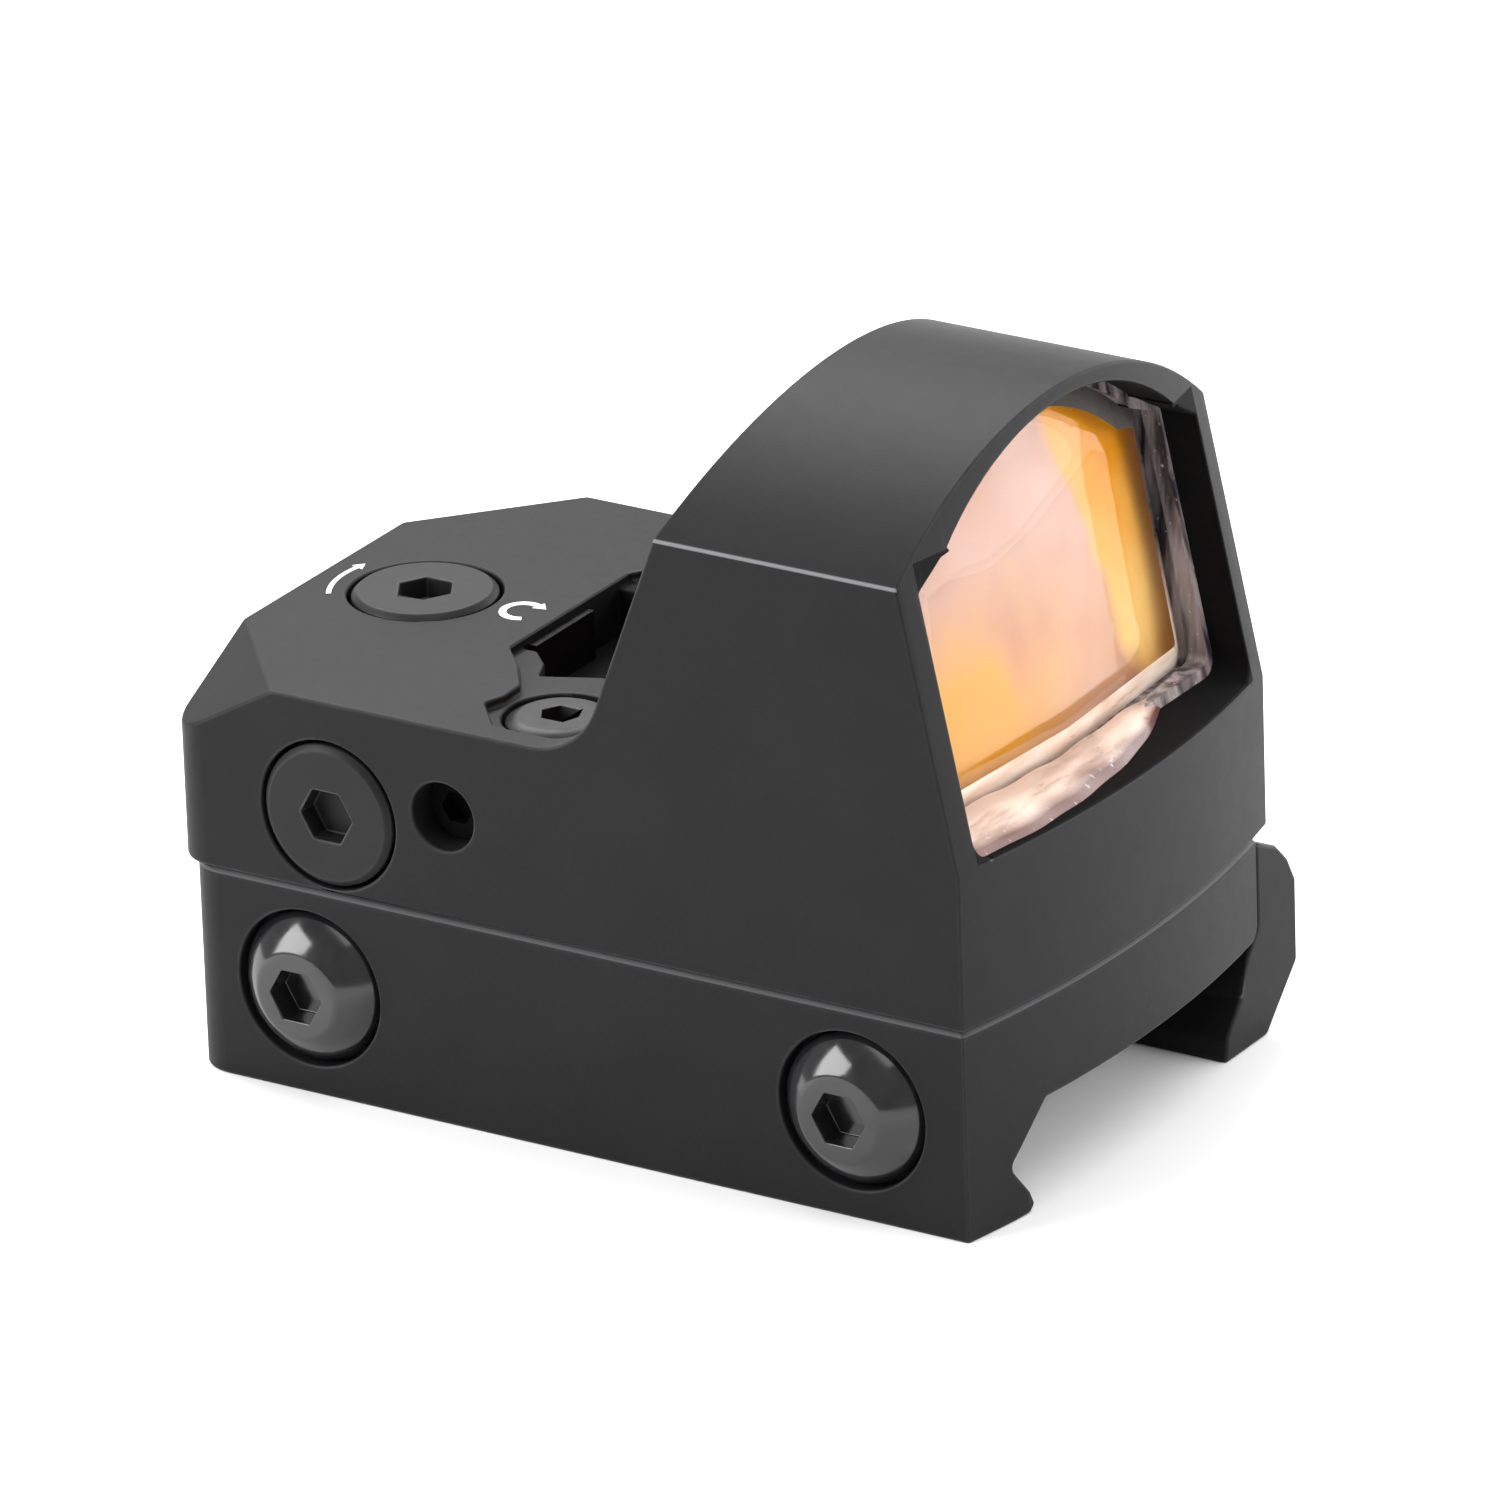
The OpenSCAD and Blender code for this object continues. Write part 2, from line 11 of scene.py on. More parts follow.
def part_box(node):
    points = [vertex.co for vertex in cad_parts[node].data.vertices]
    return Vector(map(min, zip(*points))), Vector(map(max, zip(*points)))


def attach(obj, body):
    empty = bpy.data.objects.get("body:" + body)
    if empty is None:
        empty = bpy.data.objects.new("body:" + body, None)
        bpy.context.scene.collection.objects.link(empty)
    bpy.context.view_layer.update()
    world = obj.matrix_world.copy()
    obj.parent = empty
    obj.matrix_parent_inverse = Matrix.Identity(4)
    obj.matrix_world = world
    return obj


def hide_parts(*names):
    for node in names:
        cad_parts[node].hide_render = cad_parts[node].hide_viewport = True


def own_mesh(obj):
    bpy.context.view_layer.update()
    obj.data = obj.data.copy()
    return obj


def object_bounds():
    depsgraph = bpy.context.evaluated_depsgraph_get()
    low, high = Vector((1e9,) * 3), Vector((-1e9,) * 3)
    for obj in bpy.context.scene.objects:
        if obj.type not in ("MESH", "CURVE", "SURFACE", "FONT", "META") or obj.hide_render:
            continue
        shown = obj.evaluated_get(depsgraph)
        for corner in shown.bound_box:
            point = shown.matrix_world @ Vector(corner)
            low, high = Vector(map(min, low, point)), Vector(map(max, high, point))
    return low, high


MM = 0.001

# Where the housing is hollowed out, mm: the hood's tunnel and the trough behind it, painted darker as
# shade, and the crease, where a painted highlight runs along the sides.
HOOD_START = 0.6
INNER_WALL = 12.45
ROOF_AXIS = 15.55
ROOF_RADIUS = 15.55
SHOULDER = 27.4
CREASE = 26.55
TUNNEL_FLOOR = 13.1
TROUGH_FLOOR = 11.9
TROUGH_SIDE = 6.5
TROUGH_BACK = -9.5
TROUGH_LIP = 0.2
FAR_SIDE = 4.0
SHELF = 14.4
DECK = 14.8
ROOF_SLACK = 0.07

# The facets of a spring's turn and of its wire.
TURN_STEPS = 24
WIRE_SIDES = 8

# The front lens and the mouth round it, mm.
LENS_X = 17.6
LENS_Z = 22.2
LENS_GAP = 0.15
LENS_LEAN = math.radians(12.04)
FRONT_RADIUS = 90
CEMENT_RADIUS = 84
CEMENT_CROWN = -1.25
GROUND_WIDTH = 1.5
GROUND_DEPTH = 0.6
SILL = 13.2
FOOT_RADIUS = 1.0
FOOT_STEPS = 4
ROOF_STEPS = 40
SHOULDER_FOOT = 26.0
SHOULDER_Y = 10.1

# The sealant fillet on the sill: its run along Y, and the lens's foot and the sill's front edge, mm.
FILLET_START = -12.3
FILLET_LENGTH = 20.5
FILLET_HEIGHT = 0.85
FILLET_STEPS = 60
FILLET_BEHIND = 0.25
FILLET_TOE = 0.03
FILLET_SUNK = 0.02
LENS_FOOT_X = 19.35
SILL_EDGE_X = 22.4
SILL_EDGE_RADIUS = 66.4

# Rounding of the CAD pieces' edges: points closer than WELD join, and edges past BEVEL_ANGLE are rounded.
WELD = 0.004
FLAT_ANGLE = math.radians(0.4)
BEVEL_ANGLE = math.radians(30)
BEVEL_SEGMENTS = 2

# Height above which the mount base shows only its top chamfer, painted paler as a painted highlight, mm.
BASE_CHAMFER = 4.92

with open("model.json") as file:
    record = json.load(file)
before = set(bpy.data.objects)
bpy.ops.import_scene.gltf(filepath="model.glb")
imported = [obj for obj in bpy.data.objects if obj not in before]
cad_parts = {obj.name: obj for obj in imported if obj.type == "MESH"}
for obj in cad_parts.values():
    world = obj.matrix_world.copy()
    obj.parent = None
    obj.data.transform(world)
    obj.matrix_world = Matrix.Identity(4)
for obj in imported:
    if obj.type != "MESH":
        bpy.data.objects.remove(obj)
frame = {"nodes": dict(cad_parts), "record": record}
cad_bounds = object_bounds()
bpy.context.scene.view_settings.view_transform = "Standard"
nodes = frame["nodes"]


# ---------------------------------------------------------------- materials


class Shader:
    """A node material with a Principled shader and short calls for what feeds it."""

    def __init__(self, name, **settings):
        self.material = bpy.data.materials.new(name)
        self.material.use_nodes = True
        self.tree = self.material.node_tree
        self.principled = self.tree.nodes["Principled BSDF"]
        self.coordinates = self.add("ShaderNodeTexCoord").outputs["Object"]
        for socket, value in settings.items():
            self.principled.inputs[socket.replace("_", " ")].default_value = value

    def add(self, kind, **inputs):
        node = self.tree.nodes.new(kind)
        for socket, value in inputs.items():
            self.feed(node, socket.replace("_", " "), value)
        return node

    def feed(self, node, socket, value):
        """Links another node's output, or sets a constant on the socket itself."""
        target = node.inputs[socket]
        if isinstance(value, bpy.types.NodeSocket):
            self.tree.links.new(value, target)
        else:
            target.default_value = value

    def noise(self, size_mm, detail=3.0, stretch=(1, 1, 1)):
        """Noise with features of about size_mm, longer along an axis where stretch is below 1."""
        mapping = self.add("ShaderNodeMapping", Vector=self.coordinates, Scale=stretch)
        texture = self.add("ShaderNodeTexNoise", Vector=mapping.outputs["Vector"],
                           Scale=1 / (size_mm * MM), Detail=detail, Roughness=0.55)
        return texture.outputs["Fac"]

    def ramp(self, value, low, high, to_low, to_high):
        """The value's place between low and high, carried to the same place between two others."""
        node = self.add("ShaderNodeMapRange", Value=value)
        for index, number in zip((1, 2, 3, 4), (low, high, to_low, to_high)):
            node.inputs[index].default_value = number
        return node.outputs["Result"]

    def math(self, operation, first, second):
        node = self.add("ShaderNodeMath")
        node.operation = operation
        self.feed(node, 0, first)
        self.feed(node, 1, second)
        return node.outputs[0]

    def blend(self, amount, first, second):
        node = self.add("ShaderNodeMix")
        node.data_type = "RGBA"
        self.feed(node, 0, amount)
        for index, colour in ((6, first), (7, second)):
            if not isinstance(colour, bpy.types.NodeSocket):
                colour = (*colour, 1)
            self.feed(node, index, colour)
        return node.outputs[2]

    def edges(self, radius_mm):
        """1 on outward edges, 0 on flats."""
        bevel = self.add("ShaderNodeBevel", Radius=radius_mm * MM)
        bevel.samples = 4
        geometry = self.add("ShaderNodeNewGeometry")
        dot = self.add("ShaderNodeVectorMath")
        dot.operation = "DOT_PRODUCT"
        self.feed(dot, 0, bevel.outputs["Normal"])
        self.feed(dot, 1, geometry.outputs["Normal"])
        return self.ramp(dot.outputs["Value"], 1.0, 0.8, 0.0, 1.0)

    def all_of(self, *conditions):
        """The product of several 0 or 1 values."""
        result = conditions[0]
        for condition in conditions[1:]:
            result = self.math("MULTIPLY", result, condition)
        return result

    def colour(self, socket):
        self.feed(self.principled, "Base Color", socket)

    def rough(self, value, low, high):
        self.feed(self.principled, "Roughness", self.ramp(value, 0.3, 0.7, low, high))

    def bump(self, height, depth_mm, strength):
        node = self.add("ShaderNodeBump", Height=height, Distance=depth_mm * MM, Strength=strength)
        self.feed(self.principled, "Normal", node.outputs["Normal"])


def toned(shade, factor):
    """A shade made darker or lighter by a factor, no lighter than white."""
    return [min(1, c * factor) for c in shade]


def hollow_shade_mask(s):
    """1 in the trough and the hood's tunnel of the housing, where its painted shade goes, 0 on its outer
    faces.
    """
    split = s.add("ShaderNodeSeparateXYZ", Vector=s.coordinates)
    x, y, z = (split.outputs[axis] for axis in "XYZ")
    side = s.math("ABSOLUTE", y, 0.0)
    above_axis = s.math("SUBTRACT", z, ROOF_AXIS * MM)
    squares = s.math("ADD", s.math("MULTIPLY", y, y), s.math("MULTIPLY", above_axis, above_axis))
    under_arc = s.math("LESS_THAN", s.math("SQRT", squares, 0.0), (ROOF_RADIUS + ROOF_SLACK) * MM)
    under_roof = s.math("MAXIMUM", s.math("LESS_THAN", z, SHOULDER * MM), under_arc)
    tunnel = s.all_of(
        s.math("GREATER_THAN", x, HOOD_START * MM), s.math("LESS_THAN", side, INNER_WALL * MM),
        s.math("GREATER_THAN", z, TUNNEL_FLOOR * MM), under_roof,
    )
    below_shelf = s.math("LESS_THAN", z, SHELF * MM)
    far_half = s.math("GREATER_THAN", y, FAR_SIDE * MM)
    at_back = s.math("LESS_THAN", x, (TROUGH_BACK + TROUGH_LIP) * MM)
    below_deck = s.math("MULTIPLY", s.math("LESS_THAN", z, DECK * MM), s.math("MAXIMUM", at_back, far_half))
    trough = s.all_of(
        s.math("GREATER_THAN", z, TROUGH_FLOOR * MM), s.math("MAXIMUM", below_shelf, below_deck),
        s.math("LESS_THAN", side, TROUGH_SIDE * MM), s.math("GREATER_THAN", x, TROUGH_BACK * MM),
        s.math("LESS_THAN", x, HOOD_START * MM),
    )
    return s.math("MAXIMUM", tunnel, trough)


def anodised(name, shade, rough=0.5, ior=1.235, shade_hollow=False, chamfer_highlight_mm=None, crease_highlight_mm=None):
    """Bead-blasted black anodised aluminium: fine grain, faint mottling, paler edges that are partly worn
    and partly a painted highlight.

    Faces above the chamfer height get a painted highlight, as does a thin strip at the crease height on the
    sides. A housing with a trough and tunnel is painted darker in them, as painted shade.
    """
    s = Shader(name, IOR=ior, Metallic=0.0)
    mottle = s.noise(4.0, detail=5.0)
    grain = s.noise(0.09, detail=2.0)
    base = s.blend(s.ramp(mottle, 0.35, 0.65, 0.0, 1.0), toned(shade, 0.92), toned(shade, 1.1))
    speck = s.ramp(grain, 0.55, 0.8, 0.0, 0.25)
    base = s.blend(speck, base, toned(shade, 2.0))
    # Paler edges, partly worn metal and partly painted highlight.
    wear_and_highlight = s.math("MULTIPLY", s.edges(0.16), s.ramp(s.noise(1.4, detail=6.0), 0.3, 0.7, 0.24, 0.6))
    # Painted highlight: faces above the chamfer height are paler.
    if chamfer_highlight_mm is not None:
        height = s.add("ShaderNodeSeparateXYZ", Vector=s.coordinates).outputs["Z"]
        chamfer = s.math("MULTIPLY", s.math("GREATER_THAN", height, chamfer_highlight_mm * MM), 0.2)
        wear_and_highlight = s.math("MAXIMUM", wear_and_highlight, chamfer)
    # Painted highlight: a thin pale strip along the crease on the side faces.
    if crease_highlight_mm is not None:
        height = s.add("ShaderNodeSeparateXYZ", Vector=s.coordinates).outputs["Z"]
        away = s.math("ABSOLUTE", s.math("SUBTRACT", height, crease_highlight_mm * MM), 0.0)
        normal = s.add("ShaderNodeSeparateXYZ", Vector=s.add("ShaderNodeNewGeometry").outputs["Normal"])
        sideways = s.math("GREATER_THAN", s.math("ABSOLUTE", normal.outputs["Y"], 0.0), 0.6)
        crease_highlight = s.math("MULTIPLY", s.ramp(away, 0.05 * MM, 0.11 * MM, 0.65, 0.0), sideways)
        wear_and_highlight = s.math("MAXIMUM", wear_and_highlight, crease_highlight)
    base = s.blend(wear_and_highlight, base, (0.24, 0.24, 0.25))
    roughness = s.ramp(s.noise(1.0, detail=4.0), 0.3, 0.7, rough - 0.01, rough + 0.02)
    # Painted shade: the trough and tunnel are darker, and rougher too.
    if shade_hollow:
        painted_shade_inside = hollow_shade_mask(s)
        base = s.blend(painted_shade_inside, base, toned(shade, 0.35))
        roughness = s.math("ADD", roughness, s.math("MULTIPLY", painted_shade_inside, 0.3))
    s.colour(base)
    s.feed(s.principled, "Roughness", roughness)
    s.bump(grain, 0.012, 0.5)
    return s.material


def metal(name, shade, rough):
    """Steel or brass with a fine grain, smears of tone and a little handling wear."""
    s = Shader(name, Metallic=1.0)
    fine = s.noise(0.12, detail=2.0)
    smear = s.noise(1.8, detail=5.0)
    base = s.blend(s.ramp(smear, 0.35, 0.65, 0.0, 1.0), toned(shade, 0.85), toned(shade, 1.15))
    s.colour(s.blend(s.math("MULTIPLY", s.edges(0.1), 0.3), base, (0.45, 0.45, 0.46)))
    s.rough(smear, rough * 0.8, rough * 1.25)
    s.bump(fine, 0.004, 0.35)
    return s.material


def gloss_black(name):
    """Polished black oxide: a dark glossy skin with faint handling marks."""
    s = Shader(name, IOR=1.58)
    smear = s.noise(1.2, detail=5.0)
    base = s.blend(s.ramp(smear, 0.35, 0.65, 0.0, 1.0), (0.006, 0.006, 0.007), (0.011, 0.011, 0.012))
    s.colour(s.blend(s.math("MULTIPLY", s.edges(0.08), 0.25), base, (0.3, 0.3, 0.31)))
    s.rough(smear, 0.1, 0.2)
    s.bump(s.noise(0.2, detail=2.0), 0.002, 0.3)
    return s.material


def plain(name, shade, rough, bump_mm=0.01, **settings):
    """A moulded or painted surface with grain and slight unevenness of tone."""
    s = Shader(name, **settings)
    grain = s.noise(0.15, detail=3.0)
    tone = s.noise(1.8, detail=4.0)
    s.colour(s.blend(s.ramp(tone, 0.3, 0.7, 0.0, 1.0), toned(shade, 0.85), toned(shade, 1.12)))
    s.rough(tone, max(0.05, rough - 0.06), rough + 0.06)
    s.bump(grain, bump_mm, 0.4)
    return s.material


BLACK = (0.007, 0.007, 0.0078)
looks = {
    "anodised_body": anodised("anodised_body", BLACK, shade_hollow=True, crease_highlight_mm=CREASE),
    "anodised_base": anodised("anodised_base", BLACK, chamfer_highlight_mm=BASE_CHAMFER),
    "anodised_jaw": anodised("anodised_jaw", BLACK),
    "adjuster_black": anodised("adjuster_black", (0.010, 0.010, 0.0106), rough=0.46, ior=1.26),
    "black_oxide_steel": gloss_black("black_oxide_steel"),
    "plain_steel": metal("plain_steel", (0.30, 0.30, 0.31), 0.38),
    "dark_steel": metal("dark_steel", (0.030, 0.030, 0.031), 0.45),
    # Nearly black with almost no reflection, partly painted shade for a dark hole.
    "socket_black": plain("socket_black", (0.003, 0.003, 0.003), 0.8, IOR=1.1),
    "seal_rubber": plain("seal_rubber", (0.02, 0.02, 0.02), 0.65),
    "slide_brass": metal("slide_brass", (0.6, 0.45, 0.2), 0.3),
    "emitter_plastic": plain("emitter_plastic", (0.02, 0.02, 0.02), 0.6),
    "led": plain("led", (0.6, 0.05, 0.03), 0.2),
    "dark_window": plain("dark_window", (0.004, 0.003, 0.004), 0.3, bump_mm=0.002, IOR=1.2),
    "cell_can": metal("cell_can", (0.6, 0.6, 0.62), 0.25),
    "pad_foam": plain("pad_foam", (0.04, 0.04, 0.04), 0.8),
    "contact_brass": metal("contact_brass", (0.75, 0.6, 0.32), 0.25),
    "board_green": plain("board_green", (0.01, 0.12, 0.05), 0.35),
    "chip_plastic": plain("chip_plastic", (0.02, 0.02, 0.02), 0.5),
    "flex_film": plain("flex_film", (0.6, 0.3, 0.06), 0.35),
    "white_paint": plain("white_paint", (0.85, 0.85, 0.84), 0.5),
}


def lens_coating():
    """Warm partly reflecting coat: salmon above, clearest when seen square on; the amber low down on the
    near side and the orange stripe on the far side are painted reflections.
    """
    s = Shader("lens_coating", Metallic=0.05, IOR=1.2)
    split = s.add("ShaderNodeSeparateXYZ", Vector=s.coordinates)
    cloud = s.noise(7.0, detail=2.0)
    drift = s.ramp(cloud, 0.3, 0.7, -1.2 * MM, 1.2 * MM)
    across = s.math("ADD", split.outputs["Y"], drift)
    up = s.math("ADD", split.outputs["Z"], s.math("MULTIPLY", drift, 2.0))
    # Painted reflection: amber low down on the near side.
    low = s.ramp(up, 23.0 * MM, 17.5 * MM, 0.0, 1.0)
    left = s.ramp(across, 4.0 * MM, -3.0 * MM, 0.25, 1.0)
    tone = s.blend(s.ramp(cloud, 0.35, 0.7, 0.0, 0.6), (0.60, 0.36, 0.30), (0.50, 0.17, 0.05))
    tone = s.blend(s.math("MULTIPLY", low, left), tone, (0.76, 0.33, 0.04))
    # Painted reflection: an orange stripe on the far side, deeper orange higher up.
    high = s.ramp(up, 17.0 * MM, 24.0 * MM, 0.0, 1.0)
    lean = s.math("MULTIPLY", s.math("SUBTRACT", split.outputs["Z"], 26.0 * MM), 0.27)
    reflection_band = s.ramp(s.math("ADD", across, lean), 4.6 * MM, 5.8 * MM, 0.0, 1.0)
    tone = s.blend(reflection_band, tone, s.blend(high, (0.98, 0.60, 0.20), (0.90, 0.34, 0.02)))
    s.colour(tone)
    s.rough(cloud, 0.3, 0.36)
    facing = s.add("ShaderNodeLayerWeight", Blend=0.5).outputs["Facing"]
    s.feed(s.principled, "Transmission Weight", s.ramp(facing, 0.08, 0.38, 0.85, 0.04))
    s.bump(s.noise(6.0), 0.004, 0.2)
    return s.material


def clear_glass():
    """Clear glass with the faintest tint and hardly any haze."""
    s = Shader("lens_glass", Transmission_Weight=1.0, IOR=1.22)
    s.colour(s.blend(s.ramp(s.noise(5.0), 0.3, 0.7, 0.0, 1.0), (0.97, 0.99, 0.98), (0.99, 1.0, 0.99)))
    s.rough(s.noise(2.0, detail=5.0), 0.0, 0.03)
    return s.material


def sealant(name, dark, light, stretch, sill=None):
    """Glossy sealant with streaks along it and pale specks; above a sill it is painted darker towards its
    toe, a painted contact shadow.
    """
    s = Shader(name, Coat_Weight=0.35, Coat_Roughness=0.15)
    streak = s.noise(0.8, detail=3.0, stretch=stretch)
    amount = s.ramp(streak, 0.4, 0.62, 0.0, 1.0)
    # Painted contact shadow: near the sill the sealant turns dark.
    if sill is not None:
        height = s.add("ShaderNodeSeparateXYZ", Vector=s.coordinates).outputs["Z"]
        above = s.ramp(height, sill + 0.2 * MM, sill + 0.5 * MM, 0.0, 1.0)
        amount = s.math("MULTIPLY", s.ramp(streak, 0.35, 0.55, 0.6, 1.0), above)
    tone = s.blend(amount, dark, light)
    speck = s.ramp(s.noise(0.35, detail=2.0), 0.66, 0.74, 0.0, 0.5)
    s.colour(s.blend(speck, tone, (0.75, 0.74, 0.74)))
    s.rough(streak, 0.25, 0.4)
    s.bump(s.noise(0.45, detail=4.0, stretch=stretch), 0.05, 0.7)
    return s.material


def ground_glass():
    """The lens's ground bevel, which catches a creamy light low down and is painted dark higher up as
    painted shade.
    """
    s = Shader("ground_glass", Coat_Weight=0.5, Coat_Roughness=0.15)
    streak = s.noise(0.8, detail=4.0, stretch=(1, 0.25, 1))
    cream = s.blend(s.ramp(streak, 0.35, 0.65, 0.0, 1.0), (0.86, 0.60, 0.46), (0.98, 0.84, 0.72))
    height = s.add("ShaderNodeSeparateXYZ", Vector=s.coordinates).outputs["Z"]
    # Painted shade: the bevel darkens from 16 mm to 20 mm height.
    s.colour(s.blend(s.ramp(height, 16.0 * MM, 20.0 * MM, 0.0, 1.0), cream, (0.10, 0.09, 0.08)))
    s.rough(streak, 0.25, 0.4)
    s.bump(s.noise(0.15), 0.004, 0.4)
    return s.material


looks["lens_glass"] = clear_glass()
# The bead's pale pinkish-grey streaks are partly the sealant's own streaks and partly painted highlights.
looks["bead_sealant"] = sealant("bead_sealant", (0.03, 0.022, 0.026), (0.34, 0.28, 0.28), (1, 1, 0.12))
looks["lens_glass_coated"] = lens_coating()

slots = {row["node"]: row["material_slot"] for row in frame["record"]["subparts"]}


def dress(node, look):
    """Gives a CAD node one material."""
    mesh = nodes[node].data
    mesh.materials.clear()
    mesh.materials.append(look)


for node in nodes:
    dress(node, looks[slots[node]])
# Nearly black with almost no reflection: partly the set screw's black, partly painted shade for the hole it
# sits in.
dress("windage_lock_screw", looks["socket_black"])


# ---------------------------------------------------------------- edges on the CAD pieces


def soften(node, width_mm):
    """Rounds a CAD node's sharp edges with modifiers; its own mesh stays as it is."""
    part = nodes[node]
    weld = part.modifiers.new("weld", "WELD")
    weld.merge_threshold = WELD * MM
    flat = part.modifiers.new("flat", "DECIMATE")
    flat.decimate_type = "DISSOLVE"
    flat.angle_limit = FLAT_ANGLE
    bevel = part.modifiers.new("bevel", "BEVEL")
    bevel.width = width_mm * MM
    bevel.segments = BEVEL_SEGMENTS
    bevel.limit_method = "ANGLE"
    bevel.angle_limit = BEVEL_ANGLE
    bevel.use_clamp_overlap = False
    bevel.harden_normals = False
    bevel.miter_outer = "MITER_ARC"
    smooth = part.modifiers.new("normals", "WEIGHTED_NORMAL")
    smooth.keep_sharp = True
    for polygon in part.data.polygons:
        polygon.use_smooth = True


soften("housing", 0.13)
soften("mount_base", 0.12)
soften("clamp_jaw", 0.2)
screws = ("clamp_screw_front", "clamp_screw_rear", "mounting_screws", "elevation_screw", "windage_screw")
for node in screws:
    soften(node, 0.06)


# ---------------------------------------------------------------- front lens with its ground bevel


def mouth(inset_mm):
    """The hood's opening in the YZ plane, inset: sill, rounded foot, side, sloping shoulder, roof arc."""
    half = [(0.0, SILL + inset_mm)]
    foot = FOOT_RADIUS - min(inset_mm, 0.8 * FOOT_RADIUS)
    for i in range(FOOT_STEPS + 1):
        turn = math.radians(-90 + 90 * i / FOOT_STEPS)
        half.append((INNER_WALL - inset_mm - foot + foot * math.cos(turn),
                     SILL + inset_mm + foot + foot * math.sin(turn)))
    half.append((INNER_WALL - inset_mm, SHOULDER_FOOT - 0.3 * inset_mm))
    first = math.atan2(SHOULDER - inset_mm - ROOF_AXIS, SHOULDER_Y - 0.6 * inset_mm)
    roof = ROOF_RADIUS - inset_mm
    for i in range(ROOF_STEPS + 1):
        turn = first + (math.pi / 2 - first) * i / ROOF_STEPS
        half.append((roof * math.cos(turn), ROOF_AXIS + roof * math.sin(turn)))
    return half + [(-y, z) for y, z in half[-2:0:-1]]


def on_sphere(point, crown, radius):
    """The point's place on a sphere whose crown lies on the leaning lens axis, in metres."""
    axis = Vector((math.cos(LENS_LEAN), 0, math.sin(LENS_LEAN)))
    centre = Vector((LENS_X, 0, LENS_Z)) + axis * (crown - radius)
    y, z = point
    x = centre.x + math.sqrt(radius * radius - y * y - (z - centre.z) ** 2)
    return Vector((x, y, z)) * MM


def new_piece(name, shape, body, slot, *materials):
    """Makes an object of a bmesh, which rides on a body and takes the given materials; the slot is not
    used.
    """
    bmesh.ops.recalc_face_normals(shape, faces=shape.faces)
    mesh = bpy.data.meshes.new(name)
    shape.to_mesh(mesh)
    shape.free()
    for look in materials:
        mesh.materials.append(look)
    piece = bpy.data.objects.new(name, mesh)
    bpy.context.collection.objects.link(piece)
    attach(piece, body)
    return piece


def bridge(shape, first, second, material=0):
    """Joins two rings of points with faces, smooth ones in the first material."""
    count = len(first)
    for k in range(count):
        face = shape.faces.new((first[k], first[(k + 1) % count], second[(k + 1) % count], second[k]))
        face.material_index = material
        face.smooth = material == 0


def ground_lens(name, node):
    """The front lens rebuilt with the ground bevel round its front face."""
    shape = bmesh.new()
    outer = mouth(LENS_GAP)
    inner = mouth(LENS_GAP + GROUND_WIDTH)

    def ring(outline, crown, radius, back=0.0):
        setback = Vector((back * MM, 0, 0))
        return [shape.verts.new(on_sphere(point, crown, radius) - setback) for point in outline]

    def shrink(outline, scale):
        return [(y * scale, LENS_Z + (z - LENS_Z) * scale) for y, z in outline]

    rims = []
    for crown, radius, outline in ((0.0, FRONT_RADIUS, inner), (CEMENT_CROWN, CEMENT_RADIUS, outer)):
        rings = [ring(shrink(outline, scale), crown, radius) for scale in (1.0, 0.8, 0.6, 0.4, 0.2)]
        centre = shape.verts.new(on_sphere((0.0, LENS_Z), crown, radius))
        for larger, smaller in zip(rings, rings[1:]):
            bridge(shape, larger, smaller)
        for k in range(len(inner)):
            face = shape.faces.new((rings[-1][k], rings[-1][(k + 1) % len(inner)], centre))
            face.smooth = True
        rims.append(rings[0])
    edge = ring(outer, 0.0, FRONT_RADIUS, GROUND_DEPTH)
    bridge(shape, rims[0], edge, material=1)
    bridge(shape, edge, rims[1], material=1)
    lens = new_piece(name, shape, "sight", "lens_glass", looks["lens_glass"], ground_glass())
    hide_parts(node)


ground_lens("lens_front_ground", "lens_front")


def sill_fillet(name):
    """The uneven fillet of sealant run along the sill in front of the lens; it thins out at its far end."""
    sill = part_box("lens_seal")[0][2]
    bottom = sill - FILLET_SUNK * MM
    shape = bmesh.new()
    rings = []
    for i in range(FILLET_STEPS + 1):
        t = i / FILLET_STEPS
        y = (FILLET_START + t * FILLET_LENGTH) * MM
        face_x = LENS_FOOT_X * MM - y * y / (2 * FRONT_RADIUS * MM)
        edge_x = SILL_EDGE_X * MM - y * y / (2 * SILL_EDGE_RADIUS * MM)
        # its height and toe waver along the run
        wave = 0.10 * math.sin(9 * t) + 0.06 * math.sin(31 * t + 1.0)
        toe_x = face_x + (edge_x - face_x) * (1 - t ** 3) * (0.93 + 0.25 * wave)
        top_z = sill + (FILLET_HEIGHT + wave) * MM * (1 - 0.6 * t ** 6)
        mid = Vector(((face_x + toe_x) / 2, y, sill + (top_z - sill) * (0.62 + 0.4 * wave)))
        back_x = face_x - FILLET_BEHIND * MM
        outline = (Vector((back_x, y, top_z)), mid, Vector((toe_x, y, sill + FILLET_TOE * MM)),
                   Vector((toe_x, y, bottom)), Vector((back_x, y, bottom)))
        rings.append([shape.verts.new(point) for point in outline])
    corners = len(outline)
    for first, second in zip(rings, rings[1:]):
        for k in range(corners):
            shape.faces.new((first[k], second[k], second[(k + 1) % corners], first[(k + 1) % corners]))
    shape.faces.new(rings[0])
    shape.faces.new(reversed(rings[-1]))
    for face in shape.faces:
        face.smooth = True
    # The dark reddish brown is painted contact shadow at the fillet's toe.
    look = sealant("sill_sealant", (0.12, 0.035, 0.025), (0.95, 0.72, 0.60), (1, 0.2, 1), sill)
    new_piece(name, shape, "sight", "bead_sealant", look)


sill_fillet("lens_sill_sealant")


# ---------------------------------------------------------------- springs


